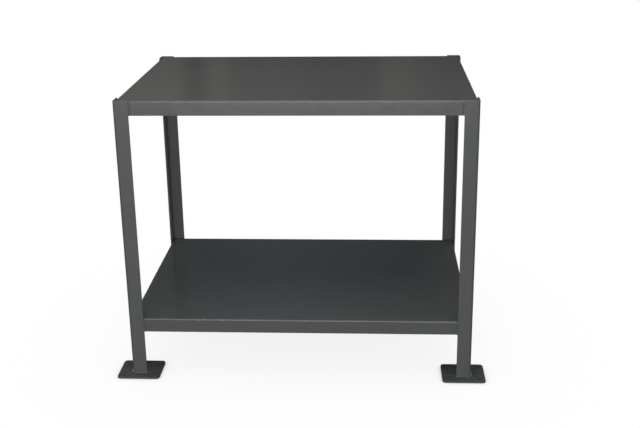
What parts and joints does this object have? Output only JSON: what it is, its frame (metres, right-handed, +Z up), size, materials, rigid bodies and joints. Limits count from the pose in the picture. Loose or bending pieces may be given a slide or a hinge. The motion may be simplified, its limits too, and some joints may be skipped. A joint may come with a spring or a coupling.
{
  "type": "machine table",
  "caption": "Welded steel machine table with two folded sheet shelves, angle legs and drilled foot plates.",
  "frame": {"origin": "on the floor, under the middle of the table", "axes": "+X along the width to the right, +Y from the front to the back, +Z up"},
  "size_m": [0.9906, 0.6668, 0.762],
  "materials": {
    "shelf_paint": "satin",
    "frame_paint": "satin",
    "foot_paint": "satin",
    "weld_paint": "satin"
  },
  "bodies": {
    "root": {"top_shelf": "shelf_paint", "lower_shelf": "shelf_paint", "top_front_stiffener": "frame_paint", "top_back_stiffener": "frame_paint", "lower_stiffener": "frame_paint", "front_left_leg": "frame_paint", "front_right_leg": "frame_paint", "back_left_leg": "frame_paint", "back_right_leg": "frame_paint", "front_left_foot": "foot_paint", "front_right_foot": "foot_paint", "back_left_foot": "foot_paint", "back_right_foot": "foot_paint", "front_left_top_weld": "weld_paint", "front_right_top_weld": "weld_paint", "back_left_top_weld": "weld_paint", "back_right_top_weld": "weld_paint", "front_left_lower_weld": "weld_paint", "front_right_lower_weld": "weld_paint", "back_left_lower_weld": "weld_paint", "back_right_lower_weld": "weld_paint", "front_left_foot_weld": "weld_paint", "front_right_foot_weld": "weld_paint", "back_left_foot_weld": "weld_paint", "back_right_foot_weld": "weld_paint"}
  },
  "joints": []
}
